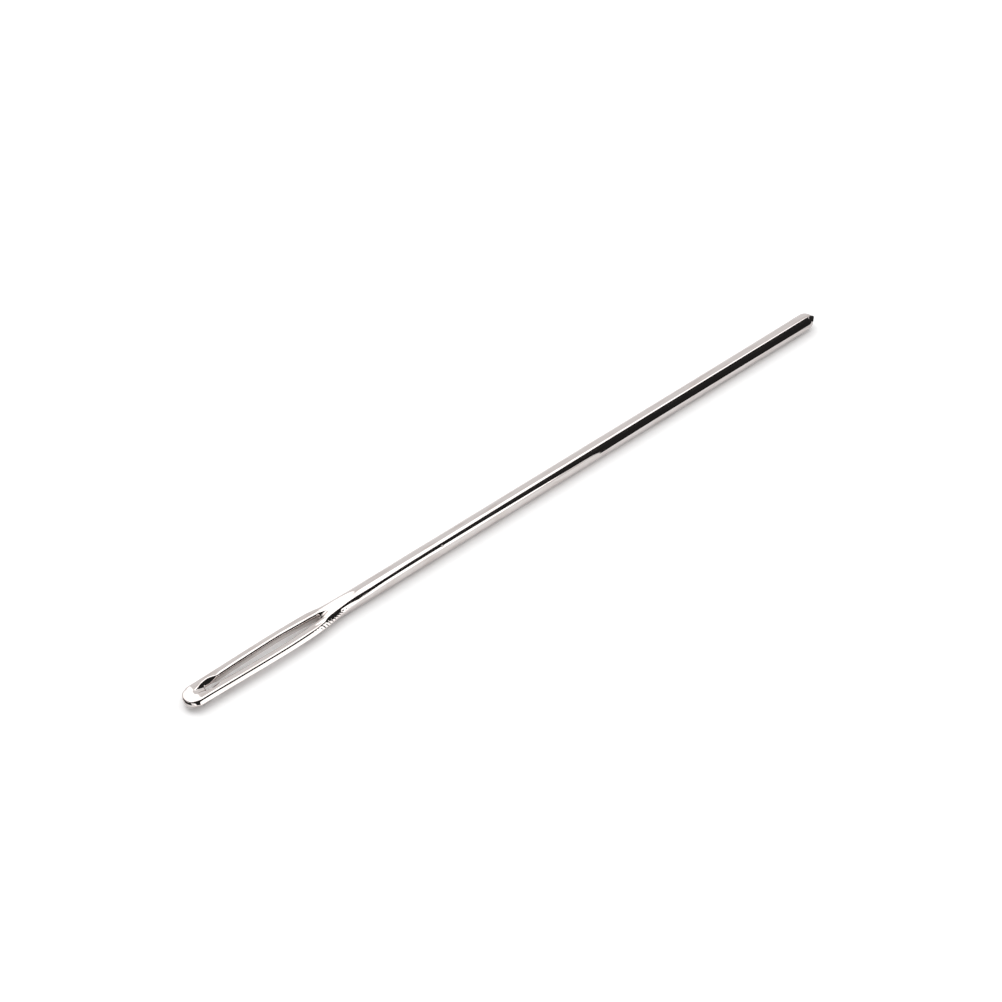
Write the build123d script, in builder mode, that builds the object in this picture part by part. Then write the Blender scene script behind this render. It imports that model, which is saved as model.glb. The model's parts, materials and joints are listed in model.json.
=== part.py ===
# Blunt yarn needle of plated steel wire, with a stamped head and a long eye.
# It lies on the XY plane along X, its crown towards -X and its point towards +X. The origin is on that
# plane, under the middle of its length. Places along the needle are measured from the crown's end.

import math
import os

from build123d import *

# Wire
needle_length = 70.0
wire_diameter = 1.6

# Stamped head
head_width = 2.48
head_thickness = 0.86
crown_radius = 1.1
widest_place = 9.6

# Slot of the eye
slot_start = 2.1
slot_length = 11.5
slot_width = 0.8
slot_crown_width = 0.42
slot_throat_width = 0.4
slot_corner_radius = 0.12
slot_rim_radius = 0.26

# Throat, where the head narrows behind the slot, and its run-out into the round wire
throat_setback = 0.4
throat_width = 1.98
run_out_length = 5.4

# Scoops on both faces, which lead down into the slot's two ends, as a round-edged wheel cuts them
scoop_wheel_radius = 2.2
scoop_edge_radius = 0.5
crown_scoop_depth = 0.34
throat_scoop_depth = 0.2

# Blunt point
point_length = 1.4
shoulder_radius = 0.5
nose_radius = 0.13

# Heights and places that follow from these
wire_radius = wire_diameter / 2
axis_height = wire_radius
crown_width = 2 * crown_radius
slot_end = slot_start + slot_length
throat_place = slot_end + throat_setback
head_end = slot_end + run_out_length
point_start = needle_length - point_length
cut_overrun = wire_diameter


def section_plane(distance):
    # Plane square to the needle, centred on its axis and facing the point
    return Plane(origin=(distance, 0, axis_height), x_dir=(0, 1, 0), z_dir=(1, 0, 0))


def between(first, last, share):
    return first + (last - first) * share


# Stations of the head: place, width, thickness, and how much of the half thickness its corners round off.
# The shares say how far each has come from one named station to the next.
head_corner_share = 0.8
wire_corner_share = 0.97
widening_shares = ((0.0, 0.0), (0.32, 0.3), (0.64, 0.7), (1.0, 1.0))
narrowing_shares = ((0.55, 0.2), (0.86, 0.62), (1.0, 1.0))
run_out_shares = ((0.14, 0.6, 0.4), (0.34, 0.96, 0.76), (0.6, 1.0, 0.94), (1.0, 1.0, 1.0))

flat_stations = []
for along_share, width_share in widening_shares:
    flat_stations.append((between(crown_radius, widest_place, along_share),
                          between(crown_width, head_width, width_share),
                          head_thickness, head_corner_share))
for along_share, width_share in narrowing_shares:
    flat_stations.append((between(widest_place, throat_place, along_share),
                          between(head_width, throat_width, width_share),
                          head_thickness, head_corner_share))

run_out_stations = flat_stations[-1:]
for along_share, width_share, thickness_share in run_out_shares:
    run_out_stations.append((between(throat_place, head_end, along_share),
                             between(throat_width, wire_diameter, width_share),
                             between(head_thickness, wire_diameter, thickness_share),
                             between(head_corner_share, wire_corner_share, thickness_share)))


with BuildPart() as eye:
    # The flat head keeps one thickness, then the bar runs out into the round wire
    for distance, width, thickness, corner_share in flat_stations:
        with BuildSketch(section_plane(distance)):
            RectangleRounded(width, thickness, thickness / 2 * corner_share)
    loft()
    for distance, width, thickness, corner_share in run_out_stations:
        with BuildSketch(section_plane(distance)):
            RectangleRounded(width, thickness, thickness / 2 * corner_share)
    loft()

    # The crown is half of the first section, turned about the upright line through its middle
    with BuildSketch(section_plane(crown_radius)):
        RectangleRounded(crown_width, head_thickness, head_thickness / 2 * head_corner_share)
        with Locations((-crown_width / 2, 0)):
            Rectangle(crown_width, head_thickness, mode=Mode.SUBTRACT)
    revolve(axis=Axis((crown_radius, 0, 0), (0, 0, 1)), revolution_arc=180)

    # The slot is widest where the head is, and its rims are rounded
    with BuildSketch(Plane.XY.offset(axis_height - cut_overrun)):
        with BuildLine():
            left = Spline((slot_start, slot_crown_width / 2),
                          (widest_place, slot_width / 2),
                          (slot_end, slot_throat_width / 2))
            right = Spline((slot_end, -slot_throat_width / 2),
                           (widest_place, -slot_width / 2),
                           (slot_start, -slot_crown_width / 2))
            Line(left @ 1, right @ 0)
            Line(right @ 1, left @ 0)
        make_face()
        fillet(vertices(), radius=slot_corner_radius)
    extrude(amount=2 * cut_overrun, mode=Mode.SUBTRACT)
    rims = edges(Select.LAST).filter_by(lambda edge: abs(edge.tangent_at(0.5).Z) < math.sqrt(0.5))
    fillet(rims, radius=slot_rim_radius)

    # Each scoop's wheel stands over one end of the slot, above or below the head
    for distance, depth in ((slot_start, crown_scoop_depth), (slot_end, throat_scoop_depth)):
        wheel_rise = head_thickness / 2 - depth + scoop_wheel_radius
        for side in (1, -1):
            with Locations((distance, 0, axis_height + side * wheel_rise)):
                Torus(scoop_wheel_radius - scoop_edge_radius, scoop_edge_radius,
                      rotation=(90, 0, 0), mode=Mode.SUBTRACT)

with BuildPart() as shank:
    with BuildSketch(section_plane(head_end)):
        Circle(wire_radius)
    extrude(amount=point_start - head_end)

# The point is a cone whose shoulder is eased and whose side touches the round nose
cone_length_share = 0.8
cone_length = point_length * cone_length_share
nose_middle_reach = cone_length - nose_radius
cone_turn = math.atan2(wire_radius, nose_middle_reach) - math.asin(
    nose_radius / math.hypot(wire_radius, nose_middle_reach))
shoulder_start = needle_length - cone_length - shoulder_radius * math.tan(cone_turn / 2)
nose_touch_reach = nose_radius * (1 - math.sin(cone_turn))
nose_touch_rise = nose_radius * math.cos(cone_turn)

with BuildPart() as point:
    with BuildSketch(Plane.XZ):
        with BuildLine():
            shoulder = JernArc((shoulder_start, axis_height + wire_radius), (1, 0),
                               shoulder_radius, -math.degrees(cone_turn))
            cone = Line(shoulder @ 1, (needle_length - nose_touch_reach, axis_height + nose_touch_rise))
            TangentArc(cone @ 1, (needle_length, axis_height), tangent=cone % 1)
            Polyline((needle_length, axis_height), (point_start, axis_height),
                     (point_start, axis_height + wire_radius), shoulder @ 0)
        make_face()
    revolve(axis=Axis((0, 0, axis_height), (1, 0, 0)))

# The parts are made with the crown's end at the origin, which then goes under the middle of the length
to_middle = Location((-needle_length / 2, 0, 0))
eye.part.move(to_middle)
shank.part.move(to_middle)
point.part.move(to_middle)

os.makedirs("parts", exist_ok=True)

eye.part.label = "eye"
export_step(eye.part, "parts/eye.step")

shank.part.label = "shank"
export_step(shank.part, "parts/shank.step")

point.part.label = "point"
export_step(point.part, "parts/point.step")
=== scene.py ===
import json
import math

import bpy
import numpy as np
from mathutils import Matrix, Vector

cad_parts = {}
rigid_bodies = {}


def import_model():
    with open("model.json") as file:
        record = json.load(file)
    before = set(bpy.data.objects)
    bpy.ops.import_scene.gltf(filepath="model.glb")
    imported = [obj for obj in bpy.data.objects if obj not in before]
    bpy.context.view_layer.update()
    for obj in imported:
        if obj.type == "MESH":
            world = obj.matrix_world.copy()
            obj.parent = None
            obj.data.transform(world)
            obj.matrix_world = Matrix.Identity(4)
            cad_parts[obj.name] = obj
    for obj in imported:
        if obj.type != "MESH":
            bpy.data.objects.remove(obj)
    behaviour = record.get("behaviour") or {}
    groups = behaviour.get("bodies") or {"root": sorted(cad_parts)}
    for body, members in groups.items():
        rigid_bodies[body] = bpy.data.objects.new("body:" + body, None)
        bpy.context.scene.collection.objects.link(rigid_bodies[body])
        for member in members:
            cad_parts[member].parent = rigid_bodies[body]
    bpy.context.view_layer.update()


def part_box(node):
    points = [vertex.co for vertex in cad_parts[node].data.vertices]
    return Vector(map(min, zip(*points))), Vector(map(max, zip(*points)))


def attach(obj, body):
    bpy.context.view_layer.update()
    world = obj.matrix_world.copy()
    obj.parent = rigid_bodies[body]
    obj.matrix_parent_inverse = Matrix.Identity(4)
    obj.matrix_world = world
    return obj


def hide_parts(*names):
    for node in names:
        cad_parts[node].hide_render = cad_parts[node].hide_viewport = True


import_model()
mm = 0.001

# The frame gives the needle's places: x runs from the crown to the point, the axis lies at the wire's radius
eyeLow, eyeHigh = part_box("eye")
shankLow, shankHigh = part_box("shank")
pointLow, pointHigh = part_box("point")
crownEnd = eyeLow.x
headEnd = eyeHigh.x - crownEnd
pointStart = pointLow.x - crownEnd
needleLength = pointHigh.x - crownEnd
wireRadius = (shankHigh.z - shankLow.z) / 2

head = {
    "crownRadius": 1.12 * mm,
    # a bar's side: a round corner, then a slanted facet down to the ridge at half height
    "cornerRadius": 0.26 * mm,
    "facetAngle": 28.0,
    # places from the crown's end and half widths there
    "sidePlaces": [1.1, 3.8, 6.5, 9.6, 12.0, 13.4, 14.4, 15.7, 17.0, 19.0],
    "sideHalfWidths": [1.12, 1.155, 1.205, 1.235, 1.195, 1.12, 0.99, 0.84, 0.79, 0.8],
    # the crown's edge is steeper than the rails': places and depths of the side there
    "depthPlaces": [0.0, 0.35, 0.75],
    "sideDepths": [0.07, 0.16, 0.38],
    # places and half thicknesses of the bar, which grows round again behind the slot
    "risePlaces": [0.0, 0.6, 1.2, 2.0, 6.0, 9.0, 12.0, 13.2, 14.0, 14.6, 15.4, 16.2, 17.0],
    "riseHalfThicknesses": [0.36, 0.4, 0.418, 0.42, 0.42, 0.425, 0.45, 0.485, 0.53, 0.61, 0.73, 0.79, 0.8],
    "roundFrom": 12.6 * mm,
    "roundTo": 15.8 * mm,
    # places and heights of the pressed flat that runs out on the wire as a long triangle
    "flatPlaces": [13.0, 13.6, 14.2, 15.2, 16.3, 17.2, 17.5],
    "flatHeights": [0.478, 0.49, 0.53, 0.62, 0.715, 0.795, 0.82],
    "flatBlend": 0.02 * mm,
}

slot = {
    "start": 2.1 * mm,
    "end": 13.6 * mm,
    # places and half widths between the walls
    "places": [2.1, 3.8, 5.2, 6.5, 7.9, 9.6, 11.3, 12.7, 13.6],
    "halfWidths": [0.2, 0.255, 0.31, 0.346, 0.38, 0.396, 0.326, 0.25, 0.19],
    "cornerRadius": 0.15 * mm,
    "rimRadius": 0.28 * mm,
    # how much of the rim's rounding the crown's scoop takes away where it is deepest
    "sharpening": 0.85,
}

# the scoops that lead the thread into both ends of the slot: places and depths along the needle
scoops = {
    "sideSlope": 1.0,
    "bottomRadius": 0.08 * mm,
    "crownFlat": 0.12 * mm,
    "throatFlat": 0.02 * mm,
    "crownPlaces": [0.8, 1.5, 2.1, 2.6, 3.1, 3.9],
    "crownDepths": [0.0, 0.11, 0.31, 0.38, 0.28, 0.0],
    "throatPlaces": [12.9, 13.6, 14.0, 14.6],
    "throatDepths": [0.0, 0.2, 0.1, 0.0],
    "blend": 0.03 * mm,
    "clearance": 0.06 * mm,
}

tip = {"noseRadius": 0.16 * mm, "coneAngle": 40.0, "shoulderRadius": 1.0 * mm}

# how finely the surface is cut up; joinPlace is where the eye's faces meet the rings round the bar
grid = {
    "railSteps": 260, "crownSteps": 64, "throatSteps": 48, "faceSteps": 26, "wallSteps": 6,
    "joinPlace": 15.2 * mm, "runOutSteps": 59, "shankSteps": 240,
    "wireEndSteps": 3, "shoulderSteps": 10, "coneSteps": 28, "noseSteps": 10,
    "faceSamples": 400, "ringSamples": 801,
}


def smoothCurve(places, values):
    # monotone cubic through the given points, level beyond both ends
    px, py = np.array(places, float) * mm, np.array(values, float) * mm
    gaps = np.diff(px)
    rises = np.diff(py) / gaps
    slopes = np.zeros(len(px))
    for i in range(1, len(px) - 1):
        if rises[i - 1] * rises[i] > 0:
            slopes[i] = 2 / (1 / rises[i - 1] + 1 / rises[i])

    def curve(x):
        x = np.clip(x, px[0], px[-1])
        i = np.clip(np.searchsorted(px, x) - 1, 0, len(gaps) - 1)
        t = (x - px[i]) / gaps[i]
        return (py[i] * (1 + 2 * t) * (1 - t) ** 2 + slopes[i] * gaps[i] * t * (1 - t) ** 2
                + py[i + 1] * t * t * (3 - 2 * t) + slopes[i + 1] * gaps[i] * t * t * (t - 1))
    return curve


sideCurve = smoothCurve(head["sidePlaces"], head["sideHalfWidths"])
riseCurve = smoothCurve(head["risePlaces"], head["riseHalfThicknesses"])
depthCurve = smoothCurve(head["depthPlaces"], head["sideDepths"])
fullDepth = head["sideDepths"][-1] * mm
fullRise = float(riseCurve(slot["start"]))
flatCurve = smoothCurve(head["flatPlaces"], head["flatHeights"])
slotHalfWidth = smoothCurve(slot["places"], slot["halfWidths"])
crownDepth = smoothCurve(scoops["crownPlaces"], scoops["crownDepths"])
throatDepth = smoothCurve(scoops["throatPlaces"], scoops["throatDepths"])


def easeShare(x, start, end):
    t = np.clip((x - start) / (end - start), 0, 1)
    return t * t * (3 - 2 * t)


def sectionHeight(x, distance):
    # height of the bar's side at a distance from the axis: the section goes from a flat bar with ridged sides
    # to round wire
    side, rise = sideCurve(x), riseCurve(x)
    turned = easeShare(x, head["roundFrom"], head["roundTo"])
    depth = depthCurve(x) + (side - depthCurve(x)) * turned
    share = np.clip((distance - (side - depth)) / depth, 0, 1)
    run = share * fullDepth
    corner, angle = head["cornerRadius"], math.radians(head["facetAngle"])
    arc = fullRise - corner + np.sqrt(np.maximum(corner ** 2 - run ** 2, 0))
    facet = (fullDepth - run) / math.tan(angle)
    ridged = np.where(run < corner * math.cos(angle), arc, facet) / fullRise
    return rise * (ridged + (np.sqrt(1 - share ** 2) - ridged) * turned)


def slotDistance(x, y):
    # distance in plan from the slot's edge, less than 0 inside the slot
    middle = (slot["start"] + slot["end"]) / 2
    reach = (slot["end"] - slot["start"]) / 2 - slot["cornerRadius"]
    qx = np.abs(x - middle) - reach
    qy = np.abs(y) - (slotHalfWidth(x) - slot["cornerRadius"])
    outside = np.hypot(np.maximum(qx, 0), np.maximum(qy, 0))
    inside = np.minimum(np.maximum(qx, qy), 0)
    return outside + inside - slot["cornerRadius"]


def scoopFloor(base, depth, y, flat):
    # a flat-bottomed groove below the bar's face; where it has no depth it stays clear of the face
    bottom = scoops["bottomRadius"]
    sag = np.sqrt((np.maximum(np.abs(y) - flat, 0) * scoops["sideSlope"]) ** 2 + bottom ** 2) - bottom
    lift = scoops["clearance"] * np.clip(1 - depth / scoops["clearance"], 0, 1)
    return base - depth + lift + sag


def softLower(a, b, blend):
    # the lower of two heights, with the corner between them rounded
    h = np.clip(0.5 + 0.5 * (b - a) / blend, 0, 1)
    return b * (1 - h) + a * h - blend * h * (1 - h)


def topHeight(x, y):
    # height of the upper face above the axis; the lower face mirrors it
    crownRadius = head["crownRadius"]
    distance = np.where(x < crownRadius, np.hypot(x - crownRadius, y), np.abs(y))
    # the pressed flat stands clear above the bar where it isn't wanted
    onFlat = x > head["flatPlaces"][0] * mm
    face = np.where(onFlat, flatCurve(x), riseCurve(x))
    pressed = np.where(onFlat, flatCurve(x), wireRadius * 2)
    height = softLower(sectionHeight(x, distance), pressed, head["flatBlend"])
    for depth, flat in ((crownDepth(x), scoops["crownFlat"]), (throatDepth(x), scoops["throatFlat"])):
        height = softLower(height, scoopFloor(face, depth, y, flat), scoops["blend"])
    rim = slot["rimRadius"] * (1 - slot["sharpening"] * crownDepth(x) / (max(scoops["crownDepths"]) * mm))
    inside = np.clip(rim - slotDistance(x, y), 0, rim)
    return height - (rim - np.sqrt(rim ** 2 - inside ** 2))


def ringLines():
    # plan points on the slot's edge and on the head's outline, station by station around the eye
    steps, corner = grid["railSteps"], slot["cornerRadius"]
    t = np.linspace(0, 1, steps + 1)
    innerX = slot["start"] + corner + (slot["end"] - slot["start"] - 2 * corner) * t
    outerX = head["crownRadius"] + (grid["joinPlace"] - head["crownRadius"]) * t
    leftInner = np.c_[innerX, slotHalfWidth(innerX)]
    leftOuter = np.c_[outerX, sideCurve(outerX)]

    def slotEnd(place, direction, count):
        # across the slot's end from its left corner to its right one
        flat = slotHalfWidth(np.array(place - direction * corner)) - corner
        arcLength, flatLength = corner * math.pi / 2, 2 * flat
        points = []
        for i in range(count + 1):
            run = (2 * arcLength + flatLength) * i / count
            centreX = place - direction * corner
            if run < arcLength:
                a = run / corner
                points.append((centreX + direction * corner * math.sin(a), flat + corner * math.cos(a)))
            elif run <= arcLength + flatLength:
                points.append((place, flat - (run - arcLength)))
            else:
                a = (run - arcLength - flatLength) / corner
                points.append((centreX + direction * corner * math.cos(a), -flat - corner * math.sin(a)))
        return np.array(points)

    over = sectionRing(grid["joinPlace"], 2 * grid["throatSteps"])[:grid["throatSteps"] + 1]
    throatOuter = np.c_[np.full(len(over), grid["joinPlace"]), over[:, 1]]
    throatInner = slotEnd(slot["end"], 1, grid["throatSteps"])
    turn = np.pi * np.arange(grid["crownSteps"] + 1) / grid["crownSteps"]
    crownOuter = head["crownRadius"] * np.c_[1 - np.sin(turn), np.cos(turn)]
    crownInner = slotEnd(slot["start"], -1, grid["crownSteps"])
    mirror = np.array([1, -1])
    inner = np.vstack([leftInner[:-1], throatInner[:-1],
                       (leftInner * mirror)[::-1][:-1], crownInner[::-1][:-1]])
    outer = np.vstack([leftOuter[:-1], throatOuter[:-1],
                       (leftOuter * mirror)[::-1][:-1], crownOuter[::-1][:-1]])
    return inner, outer


def headRows():
    # for each station, points from the slot's edge to the outline, evenly spaced along the surface
    inner, outer = ringLines()
    # the samples lie closest at both edges, where the face is steepest
    t = np.linspace(0, 1, grid["faceSamples"])
    shares = np.where(t < 0.5, 2 * t ** 2, 1 - 0.5 * (2 * (1 - t)) ** 3)
    rows = []
    for a, b in zip(inner, outer):
        plan = a + (b - a) * shares[:, None]
        height = topHeight(plan[:, 0], plan[:, 1])
        points = np.c_[plan, height]
        run = np.r_[0, np.cumsum(np.linalg.norm(np.diff(points, axis=0), axis=1))]
        wanted = np.linspace(0, run[-1], grid["faceSteps"] + 1)
        rows.append(np.array([np.interp(wanted, run, points[:, k]) for k in range(3)]).T)
    return np.array(rows)


def sectionRing(x, count):
    # points round the bar at one place, evenly spaced, from the +y side over the top
    y = float(sideCurve(x)) * np.cos(np.linspace(0, np.pi, grid["ringSamples"]))
    z = topHeight(np.full(len(y), x), y)
    z[0] = z[-1] = 0
    run = np.r_[0, np.cumsum(np.hypot(np.diff(y), np.diff(z)))]
    wanted = np.linspace(0, run[-1], count // 2 + 1)
    y, z = np.interp(wanted, run, y), np.interp(wanted, run, z)
    y, z = np.r_[y, y[::-1][1:-1]], np.r_[z, -z[::-1][1:-1]]
    return np.c_[np.full(len(y), x), y, z]


def needleMesh():
    # a known fault: every face here is wound so that it points inwards
    rows = headRows()
    ringCount, faceCount = rows.shape[0], rows.shape[1]
    throatFirst, throatLast = grid["railSteps"], grid["railSteps"] + grid["throatSteps"]
    verts, faces = [], []

    def add(point):
        verts.append(point)
        return len(verts) - 1

    top = np.zeros((ringCount, faceCount), int)
    bottom = np.zeros((ringCount, faceCount), int)
    for i in range(ringCount):
        inThroat = throatFirst < i < throatLast
        for j in range(faceCount):
            x, y, z = rows[i, j]
            if j == faceCount - 1 and not inThroat:
                top[i, j] = bottom[i, j] = add((x, y, 0))
            else:
                top[i, j] = add((x, y, z))
                bottom[i, j] = add((x, y, -z))
    wallSteps = grid["wallSteps"]
    wall = np.zeros((ringCount, wallSteps + 1), int)
    for i in range(ringCount):
        x, y, z = rows[i, 0]
        wall[i, 0], wall[i, wallSteps] = top[i, 0], bottom[i, 0]
        for k in range(1, wallSteps):
            wall[i, k] = add((x, y, z * (1 - 2 * k / wallSteps)))
    for i in range(ringCount):
        n = (i + 1) % ringCount
        for j in range(faceCount - 1):
            faces.append((top[i, j], top[i, j + 1], top[n, j + 1], top[n, j]))
            faces.append((bottom[i, j], bottom[n, j], bottom[n, j + 1], bottom[i, j + 1]))
        for k in range(wallSteps):
            faces.append((wall[i, k], wall[n, k], wall[n, k + 1], wall[i, k + 1]))

    # the round bar goes on from the throat's edge: over the top, then back below
    ring = [top[i, -1] for i in range(throatFirst, throatLast + 1)]
    ring += [bottom[i, -1] for i in range(throatLast - 1, throatFirst, -1)]
    count = len(ring)
    runOut = np.linspace(grid["joinPlace"], headEnd, grid["runOutSteps"] + 1)[1:]
    straight = np.linspace(headEnd, pointStart, grid["shankSteps"] + 1)[1:]
    for x in np.r_[runOut, straight]:
        ring = bridge(ring, [add(tuple(p)) for p in sectionRing(x, count)], faces)
    for x, radius in pointProfile():
        turn = 2 * np.pi * np.arange(count) / count
        ring = bridge(ring, [add((x, radius * math.cos(a), radius * math.sin(a))) for a in turn], faces)
    end = add((needleLength, 0, 0))
    for a in range(count):
        faces.append((ring[a], end, ring[(a + 1) % count]))
    return verts, faces


def bridge(ring, following, faces):
    count = len(ring)
    for a in range(count):
        b = (a + 1) % count
        faces.append((ring[a], following[a], following[b], ring[b]))
    return following


def pointProfile():
    # a short shoulder leaves the wire, then a straight cone runs to the round nose
    nose, shoulder, angle = tip["noseRadius"], tip["shoulderRadius"], math.radians(tip["coneAngle"])
    noseStart = needleLength - nose * (1 - math.sin(angle))
    noseHeight = nose * math.cos(angle)
    shoulderHeight = wireRadius - shoulder * (1 - math.cos(angle))
    shoulderEnd = noseStart - (shoulderHeight - noseHeight) / math.tan(angle)
    centre = shoulderEnd - shoulder * math.sin(angle)
    stations = []
    for i in range(1, grid["wireEndSteps"] + 1):
        stations.append((pointStart + (centre - pointStart) * i / grid["wireEndSteps"], wireRadius))
    for i in range(1, grid["shoulderSteps"] + 1):
        a = angle * i / grid["shoulderSteps"]
        stations.append((centre + shoulder * math.sin(a), wireRadius - shoulder * (1 - math.cos(a))))
    for i in range(1, grid["coneSteps"] + 1):
        t = i / grid["coneSteps"]
        stations.append((shoulderEnd + (noseStart - shoulderEnd) * t,
                         shoulderHeight + (noseHeight - shoulderHeight) * t))
    for i in range(1, grid["noseSteps"]):
        a = angle + (math.pi / 2 - angle) * i / grid["noseSteps"]
        stations.append((needleLength - nose + nose * math.sin(a), nose * math.cos(a)))
    return stations


def buildNeedle():
    verts, faces = needleMesh()
    placed = [(x + crownEnd, y, z + wireRadius) for x, y, z in verts]
    mesh = bpy.data.meshes.new("needleBody")
    mesh.from_pydata(placed, [], [tuple(int(v) for v in f) for f in faces])
    mesh.validate()
    mesh.shade_smooth()
    piece = bpy.data.objects.new("needleBody", mesh)
    bpy.context.scene.collection.objects.link(piece)
    print("needle body:", len(mesh.vertices), "points,", len(mesh.polygons), "faces")
    return piece


def joined(tree, operation, a, b=0.0):
    # one maths node on two values, each a number or an output
    node = tree.nodes.new("ShaderNodeMath")
    node.operation = operation
    for socket, value in zip(node.inputs, (a, b)):
        if isinstance(value, float):
            socket.default_value = value
        else:
            tree.links.new(value, socket)
    return node.outputs[0]


def spread(tree, value, fromLow, fromHigh, low, high):
    # eases a value between two limits; the limits are numbers or outputs
    node = tree.nodes.new("ShaderNodeMapRange")
    node.interpolation_type = "SMOOTHSTEP"
    tree.links.new(value, node.inputs["Value"])
    for label, limit in (("From Min", fromLow), ("From Max", fromHigh), ("To Min", low), ("To Max", high)):
        if isinstance(limit, (int, float)):
            node.inputs[label].default_value = limit
        else:
            tree.links.new(limit, node.inputs[label])
    return node.outputs["Result"]


def mixedColor(tree, share, first, second):
    # a colour between two, by an output's share
    node = tree.nodes.new("ShaderNodeMix")
    node.data_type = "RGBA"
    sockets = {socket.identifier: socket for socket in [*node.inputs, *node.outputs]}
    sockets["A_Color"].default_value = first
    sockets["B_Color"].default_value = second
    tree.links.new(share, sockets["Factor_Float"])
    return sockets["Result_Color"]


# a grinding wheel's strokes across the bar's near side behind the eye, and the swelling under them, as inputs
# of their node tree. A known fault: the mesh's faces point inwards, so both are moved the wrong way, and the
# swelling comes out as a hollow in which the strokes stand up
trimMarks = {
    "Start": 11.7 * mm, "End": 17.4 * mm, "Fade": 2.2 * mm, "Period": 0.3 * mm, "Slant": 0.7,
    "Depth": 0.04 * mm, "Swelling": 0.06 * mm, "Upper": 1.2 * mm, "Lower": 0.7 * mm, "Seed": 4.0,
}

# how far in from the near side they fade out, how soft their edges are, and how uneven the strokes are
strokes = {
    "nearFull": -0.75 * mm, "nearNone": -0.5 * mm, "edgeFade": 0.15 * mm,
    "noiseScale": 2600, "noiseDetail": 2, "wander": 1.6,
    "faintFrom": 0.3, "faintTo": 0.55, "faintest": 0.35,
}


def trimMarksTree():
    tree = bpy.data.node_groups.new("trimMarks", "GeometryNodeTree")
    nodes, links = tree.nodes, tree.links
    tree.interface.new_socket(name="Geometry", in_out="INPUT", socket_type="NodeSocketGeometry")
    for label in trimMarks:
        tree.interface.new_socket(name=label, in_out="INPUT", socket_type="NodeSocketFloat")
    tree.interface.new_socket(name="Material", in_out="INPUT", socket_type="NodeSocketMaterial")
    tree.interface.new_socket(name="Geometry", in_out="OUTPUT", socket_type="NodeSocketGeometry")
    start, end = nodes.new("NodeGroupInput").outputs, nodes.new("NodeGroupOutput")
    place, split = nodes.new("GeometryNodeInputPosition"), nodes.new("ShaderNodeSeparateXYZ")
    links.new(place.outputs[0], split.inputs[0])
    x = joined(tree, "SUBTRACT", split.outputs["X"], float(crownEnd))
    y, z = split.outputs["Y"], split.outputs["Z"]

    # where the marks lie: between two places, on the near side, below the bar's upper edge
    fadeIn = spread(tree, x, start["Start"], joined(tree, "ADD", start["Start"], start["Fade"]), 0, 1)
    fadeOut = spread(tree, x, joined(tree, "SUBTRACT", start["End"], start["Fade"]), start["End"], 1, 0)
    along = joined(tree, "MULTIPLY", fadeIn, fadeOut)
    near = spread(tree, y, strokes["nearFull"], strokes["nearNone"], 1, 0)
    fade = strokes["edgeFade"]
    below = spread(tree, z, joined(tree, "SUBTRACT", start["Upper"], fade), start["Upper"], 1, 0)
    above = spread(tree, z, start["Lower"], joined(tree, "ADD", start["Lower"], fade), 0, 1)
    swell = joined(tree, "MULTIPLY", along, near)
    marked = joined(tree, "MULTIPLY", swell, joined(tree, "MULTIPLY", below, above))

    # slanted strokes, uneven in place and in depth
    noise = nodes.new("ShaderNodeTexNoise")
    noise.noise_dimensions = "4D"
    noise.inputs["Scale"].default_value = strokes["noiseScale"]
    noise.inputs["Detail"].default_value = strokes["noiseDetail"]
    links.new(place.outputs[0], noise.inputs["Vector"])
    links.new(start["Seed"], noise.inputs["W"])
    uneven = noise.outputs[0]
    phase = joined(tree, "ADD", x, joined(tree, "MULTIPLY", z, start["Slant"]))
    phase = joined(tree, "MULTIPLY", joined(tree, "DIVIDE", phase, start["Period"]), 2 * math.pi)
    phase = joined(tree, "ADD", phase, joined(tree, "MULTIPLY", uneven, strokes["wander"]))
    stroke = spread(tree, joined(tree, "SINE", phase), -1, 1, 0, 1)
    strength = spread(tree, uneven, strokes["faintFrom"], strokes["faintTo"], strokes["faintest"], 1)
    stroke = joined(tree, "MULTIPLY", stroke, strength)
    cut = joined(tree, "MULTIPLY", joined(tree, "MULTIPLY", stroke, start["Depth"]), marked)
    lift = joined(tree, "SUBTRACT", joined(tree, "MULTIPLY", swell, start["Swelling"]), cut)
    move, normal = nodes.new("ShaderNodeVectorMath"), nodes.new("GeometryNodeInputNormal")
    move.operation = "SCALE"
    links.new(normal.outputs[0], move.inputs[0])
    links.new(lift, move.inputs["Scale"])
    shift = nodes.new("GeometryNodeSetPosition")
    links.new(start["Geometry"], shift.inputs["Geometry"])
    links.new(move.outputs[0], shift.inputs["Offset"])
    real, paint = nodes.new("GeometryNodeRealizeInstances"), nodes.new("GeometryNodeSetMaterial")
    links.new(shift.outputs[0], real.inputs[0])
    links.new(real.outputs[0], paint.inputs["Geometry"])
    links.new(start["Material"], paint.inputs["Material"])
    links.new(paint.outputs[0], end.inputs[0])
    return tree


def cutTrimMarks(piece, material):
    modifier = piece.modifiers.new("trimMarks", "NODES")
    modifier.node_group = trimMarksTree()
    for item in modifier.node_group.interface.items_tree:
        if item.name in trimMarks:
            modifier[item.identifier] = float(trimMarks[item.name])
        if item.name == "Material":
            modifier[item.identifier] = material
    piece.update_tag()
    shaped = piece.evaluated_get(bpy.context.evaluated_depsgraph_get())
    mesh = bpy.data.meshes.new_from_object(shaped)
    piece.modifiers.remove(modifier)
    piece.data = mesh
    mesh.shade_smooth()
    print("trim marks:", len(mesh.vertices), "points,", [m.name for m in mesh.materials])


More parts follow.
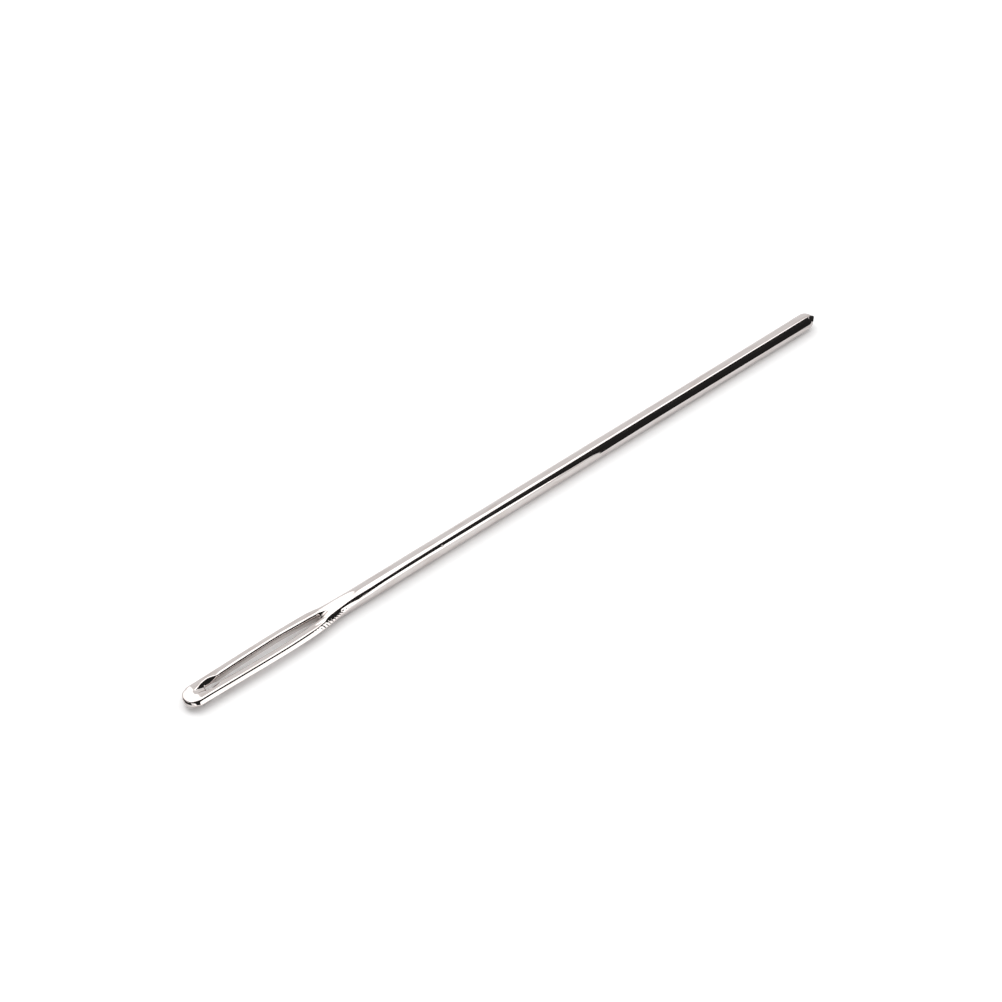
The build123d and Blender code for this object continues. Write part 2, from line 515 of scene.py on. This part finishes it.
plate = {
    "color": (0.612, 0.57, 0.556, 1),
    "wornColor": (0.54, 0.49, 0.47, 1),
    "roughness": [0.03, 0.09],
    "pitRoughness": 0.25,
    # the noises along the wire and the pits: what their node groups take
    "fineNoise": {"Stretch": (160, 14000, 14000), "Detail": 3},
    "smearNoise": {"Stretch": (420, 2600, 2600), "Detail": 4},
    "waveNoise": {"Stretch": (260, 700, 700), "Detail": 1},
    "pitPattern": {"Scale": 420, "Radius": 0.12, "Share": 0.3},
    # between which values of the smears' noise the tint and the roughness change
    "tintRange": [0.42, 0.72],
    "roughRange": [0.35, 0.8],
    # heights in millimetres
    "drawnLines": 0.00035,
    "waves": 0.0012,
    "pitDepth": 0.004,
}


def newGroup(name, sockets):
    # a node group whose interface is the given sockets; the nodes, the links and both ends are returned
    group = bpy.data.node_groups.new(name, "ShaderNodeTree")
    for label, way, kind in sockets:
        group.interface.new_socket(name=label, in_out=way, socket_type=kind)
    nodes = group.nodes
    return group, nodes, group.links, nodes.new("NodeGroupInput"), nodes.new("NodeGroupOutput")


def drawnLinesGroup():
    # fine lines along the wire, left by the drawing die: the noise is stretched along X
    group, nodes, links, start, end = newGroup("drawnLines", [
        ("Stretch", "INPUT", "NodeSocketVector"), ("Detail", "INPUT", "NodeSocketFloat"),
        ("Value", "OUTPUT", "NodeSocketFloat")])
    coordinates = nodes.new("ShaderNodeTexCoord")
    mapping = nodes.new("ShaderNodeMapping")
    noise = nodes.new("ShaderNodeTexNoise")
    noise.inputs["Scale"].default_value = 1
    links.new(coordinates.outputs["Object"], mapping.inputs["Vector"])
    links.new(start.outputs["Stretch"], mapping.inputs["Scale"])
    links.new(mapping.outputs["Vector"], noise.inputs["Vector"])
    links.new(start.outputs["Detail"], noise.inputs["Detail"])
    links.new(noise.outputs["Fac"], end.inputs["Value"])
    return group


def speckGroup():
    # scattered small pits: near the middle of a few cells the value rises to 1
    group, nodes, links, start, end = newGroup("specks", [
        ("Scale", "INPUT", "NodeSocketFloat"), ("Radius", "INPUT", "NodeSocketFloat"),
        ("Share", "INPUT", "NodeSocketFloat"), ("Value", "OUTPUT", "NodeSocketFloat")])
    coordinates = nodes.new("ShaderNodeTexCoord")
    cells = nodes.new("ShaderNodeTexVoronoi")
    links.new(coordinates.outputs["Object"], cells.inputs["Vector"])
    links.new(start.outputs["Scale"], cells.inputs["Scale"])
    pick = nodes.new("ShaderNodeSeparateColor")
    links.new(cells.outputs["Color"], pick.inputs["Color"])
    chosen = joined(group, "LESS_THAN", pick.outputs["Red"], start.outputs["Share"])
    pit = spread(group, cells.outputs["Distance"], 0, start.outputs["Radius"], 1, 0)
    links.new(joined(group, "MULTIPLY", pit, chosen), end.inputs["Value"])
    return group


def nickelMaterial():
    material = bpy.data.materials.new("nickelPlate")
    material.use_nodes = True
    nodes, links = material.node_tree.nodes, material.node_tree.links
    shader = nodes["Principled BSDF"]
    shader.inputs["Metallic"].default_value = 1

    def grouped(tree, **values):
        node = nodes.new("ShaderNodeGroup")
        node.node_tree = tree
        for label, value in values.items():
            node.inputs[label].default_value = value
        return node.outputs["Value"]

    lines, specks, tree = drawnLinesGroup(), speckGroup(), material.node_tree
    fine = grouped(lines, **plate["fineNoise"])
    smears = grouped(lines, **plate["smearNoise"])
    waves = grouped(lines, **plate["waveNoise"])
    pits = grouped(specks, **plate["pitPattern"])
    worn = joined(tree, "MAXIMUM", spread(tree, smears, *plate["tintRange"], 0, 1), pits)
    links.new(mixedColor(tree, worn, plate["color"], plate["wornColor"]), shader.inputs["Base Color"])
    rough = spread(tree, smears, *plate["roughRange"], *plate["roughness"])
    pitted = spread(tree, pits, 0, 1, 0, plate["pitRoughness"])
    links.new(joined(tree, "ADD", rough, pitted), shader.inputs["Roughness"])
    height = joined(tree, "ADD", joined(tree, "MULTIPLY", fine, plate["drawnLines"]),
                    joined(tree, "MULTIPLY", waves, plate["waves"]))
    height = joined(tree, "SUBTRACT", height, joined(tree, "MULTIPLY", pits, plate["pitDepth"]))
    bump = nodes.new("ShaderNodeBump")
    bump.inputs["Distance"].default_value = mm
    links.new(height, bump.inputs["Height"])
    links.new(bump.outputs["Normal"], shader.inputs["Normal"])
    print("nickel plate:", len(nodes), "nodes")
    return material


# the camera, fitted to the needle's edges in the photograph
view = {
    "elevation": 46.0, "azimuth": -40.4, "distance": 225.4 * mm, "target": (-1.652 * mm, 0.64 * mm, 0.8 * mm),
    "focalPixels": 2664.3, "frameWidth": 1002, "sensorWidth": 36, "nearest": 10 * mm,
}


def buildCamera():
    elevation, azimuth = math.radians(view["elevation"]), math.radians(view["azimuth"])
    back = Vector((math.sin(azimuth) * math.cos(elevation), -math.cos(azimuth) * math.cos(elevation),
                   math.sin(elevation)))
    data = bpy.data.cameras.new("camera")
    data.sensor_width = view["sensorWidth"]
    data.lens = data.sensor_width * view["focalPixels"] / view["frameWidth"]
    data.clip_start = view["nearest"]
    camera = bpy.data.objects.new("camera", data)
    camera.location = Vector(view["target"]) + back * view["distance"]
    camera.rotation_euler = (-back).to_track_quat("-Z", "Y").to_euler()
    bpy.context.scene.collection.objects.link(camera)
    bpy.context.scene.camera = camera
    print("camera:", round(data.lens, 2), "mm lens")
    return camera


def stagedMesh(name, verts, faces, material):
    # a thing of the studio, which isn't part of the needle
    mesh = bpy.data.meshes.new(name)
    mesh.from_pydata(verts, [], faces)
    mesh.materials.append(material)
    thing = bpy.data.objects.new(name, mesh)
    bpy.context.scene.collection.objects.link(thing)
    return thing


def emptyMaterial(name):
    # a material with nothing but its output, whose surface socket is returned too
    material = bpy.data.materials.new(name)
    material.use_nodes = True
    tree = material.node_tree
    tree.nodes.clear()
    return material, tree, tree.nodes.new("ShaderNodeOutputMaterial").inputs["Surface"]


def cameraOrReflection(tree):
    # 1 where the camera looks, straight or by way of a mirror or glass
    path = tree.nodes.new("ShaderNodeLightPath").outputs
    seen = joined(tree, "MAXIMUM", path["Is Camera Ray"], path["Is Glossy Ray"])
    return joined(tree, "MAXIMUM", seen, path["Is Transmission Ray"])


floor = {"reach": 3.0, "color": 0.92, "seenColor": 1.15}


def buildFloor():
    # white paper that keeps the shadow; the camera and the polish see it lighter than the lamps make it
    material, tree, surface = emptyMaterial("whitePaper")
    lit, seen = (floor["color"],) * 3 + (1,), (floor["seenColor"],) * 3 + (1,)
    diffuse = tree.nodes.new("ShaderNodeBsdfDiffuse")
    tree.links.new(mixedColor(tree, cameraOrReflection(tree), lit, seen), diffuse.inputs["Color"])
    tree.links.new(diffuse.outputs[0], surface)
    s = floor["reach"]
    stagedMesh("floor", [(-s, -s, 0), (s, -s, 0), (s, s, 0), (-s, s, 0)], [(0, 1, 2, 3)], material)
    print("floor:", 2 * s, "m wide")


world = {"fill": 0.5, "white": 1.0}


def buildWorld():
    # white walls as the camera sees them, which light the paper less
    data = bpy.data.worlds.new("studioWalls")
    data.use_nodes = True
    nodes, links = data.node_tree.nodes, data.node_tree.links
    level = nodes.new("ShaderNodeMix")
    level.inputs["A"].default_value = world["fill"]
    level.inputs["B"].default_value = world["white"]
    links.new(cameraOrReflection(data.node_tree), level.inputs["Factor"])
    links.new(level.outputs["Result"], nodes["Background"].inputs["Strength"])
    nodes["Background"].inputs["Color"].default_value = (1, 1, 1, 1)
    bpy.context.scene.world = data
    print("world:", world)


# soft boxes: middle, size, turn about the upright, and brightness, where 1 is white;
# one that leans faces the needle's axis, and one that the polish doesn't show only lights the paper
lamps = {
    "topBox": {"middle": (0.222, -0.088, 0.50), "size": (0.90, 0.40), "turn": -38.3, "leans": False,
               "brightness": 1.3, "inPolish": True},
    "farBox": {"middle": (0.15, 0.42, 0.36), "size": (0.90, 0.40), "turn": 0, "leans": True,
               "brightness": 0.6, "inPolish": False},
    "leftBox": {"middle": (-0.07, 0.28, 0.42), "size": (0.40, 0.26), "turn": 0, "leans": True,
                "brightness": 1.15, "inPolish": True},
}


def buildLamps():
    for name, box in lamps.items():
        data = bpy.data.lights.new(name, "AREA")
        data.shape = "RECTANGLE"
        data.size, data.size_y = box["size"]
        data.energy = box["brightness"] * math.pi * data.size * data.size_y
        lamp = bpy.data.objects.new(name, data)
        lamp.location = box["middle"]
        lean = math.atan2(lamp.location.y, lamp.location.z) if box["leans"] else 0
        lamp.rotation_euler = (-lean, 0, math.radians(box["turn"]))
        lamp.visible_glossy = box["inPolish"]
        bpy.context.scene.collection.objects.link(lamp)
    print("lamps:", list(lamps))


# painted reflections: cards seen only in the needle's polish, which stand for the dark side of the room and
# the white sheet in front and paint the needle's black and white bands: places along the needle, and the
# elevations in degrees between which each stands there; gap is the cards' height above the paper
cards = {
    "radius": 60 * mm,
    "gap": 0.05 * mm,
    "steps": 24,
    "dark": {
        "places": [-200, -20, -17, 14, 16, 18, 20, 22.3, 25, 29, 34.7, 40.5, 43, 46.4, 50, 56.6, 65.4, 90],
        "upper": [62, 62, 62, 62, 60, 60, 66, 72, 74, 75.5, 79, 81.5, 82.5, 83.5, 84, 84.5, 86, 88],
        "lower": [-8, -8, 10, 12, 14, 25, 33, 36, 35.5, 33.3, 27.8, 20, -11, -8, -6, -7, -10, -17],
        "brightness": 0.021,
    },
    "white": {
        "places": [-17, 14, 16, 18, 20, 22.3, 25, 29, 34.7, 38.5],
        "upper": [10, 12, 14, 25, 33, 36, 35.5, 33.3, 27.8, 22.5],
        "lower": [-12, -12, -11, -4, 4, 8, 8, 6, 10, 18],
        "brightness": 2.2,
    },
    # close by, so that only the throat shows it: a painted dark reflection there
    "near": {
        "radius": 6 * mm,
        "places": [11, 12.5, 14, 15.5, 17, 18.2],
        "upper": [56, 57, 58, 58, 59, 60],
        "lower": [50, 36, 30, 32, 38, 50],
        "brightness": 0.02,
    },
}


# the even glow of a card or a panel that is no lamp and only paints a reflection on the needle
def glowing(name, brightness):
    material, tree, surface = emptyMaterial(name)
    glow = tree.nodes.new("ShaderNodeEmission")
    glow.inputs["Color"].default_value = (1, 1, 1, 1)
    glow.inputs["Strength"].default_value = brightness
    tree.links.new(glow.outputs[0], surface)
    return material


def showInPolishOnly(thing):
    thing.visible_camera = thing.visible_diffuse = thing.visible_shadow = False
    thing.visible_transmission = thing.visible_volume_scatter = False


def buildCard(camera, name):
    # a card bent round the needle's axis, seen only in its polish, where it paints a reflection band; it
    # blocks no light
    card, steps = cards[name], cards["steps"]
    radius = card.get("radius", cards["radius"])
    eye = camera.location
    eyeDistance = math.hypot(eye.y, eye.z - wireRadius)
    verts, faces = [], []
    for place, upper, lower in zip(card["places"], card["upper"], card["lower"]):
        x = place * mm + crownEnd
        for k in range(steps + 1):
            elevation = math.radians(lower + (upper - lower) * k / steps)
            reach = radius
            # below the axis the card ends just above the paper
            if elevation < 0:
                reach = min(radius, (wireRadius - cards["gap"]) / math.sin(-elevation))
            # the wire throws a ray of the camera on with the slant along X that it came with
            along = x + (x - eye.x) * reach / eyeDistance
            verts.append((along, -reach * math.cos(elevation), wireRadius + reach * math.sin(elevation)))
    for i in range(len(card["places"]) - 1):
        for k in range(steps):
            first = i * (steps + 1) + k
            faces.append((first, first + 1, first + steps + 2, first + steps + 1))
    showInPolishOnly(stagedMesh(name + "PaintedReflectionCard", verts, faces, glowing(name + "PaintedReflectionCard", card["brightness"])))
    print(name, "card:", len(verts), "points")


# panels past the needle's ends, seen only in its polish, which paint pale and dark reflections on the point
# and the crown: corners in millimetres, and brightness
endPanels = {
    "tipPaleReflection": ([(34.2, -9, 0.04), (90, -30, 0.04), (90, 60, 0.04), (34.2, 12, 0.04)], 0.95),
    "tipLowDarkReflection": ([(35.9, -0.7, 0.05), (60, -15, 0.05), (60, 9, 0.05), (34.9, 0.3, 0.05)], 0.03),
    "tipUprightDarkReflection": ([(60, -30, 0), (60, -30, 24), (60, 0.5, 16), (60, 3, 8), (60, 9, 0)], 0.03),
    "crownLowDarkReflection": ([(-36.2, -1.5, 0.05), (-60, -12, 0.05), (-60, 30, 0.05), (-35.6, 1.2, 0.05)], 0.03),
    "crownUprightDarkReflection": ([(-150, -60, 40), (-150, -60, 80), (-150, 130, 80), (-150, 130, 40)], 0.03),
}


def buildEndPanels():
    for name, (corners, brightness) in endPanels.items():
        placed = [tuple(c * mm for c in corner) for corner in corners]
        face = tuple(range(len(placed)))
        showInPolishOnly(stagedMesh(name, placed, [face], glowing(name, brightness)))
    print("end panels:", list(endPanels))


def main():
    bpy.context.scene.view_settings.view_transform = "Standard"
    needle = buildNeedle()
    cutTrimMarks(needle, nickelMaterial())
    buildFloor()
    buildWorld()
    buildLamps()
    camera = buildCamera()
    buildCard(camera, "dark")
    buildCard(camera, "white")
    buildCard(camera, "near")
    buildEndPanels()
    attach(needle, "root")
    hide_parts("eye", "shank", "point")


main()
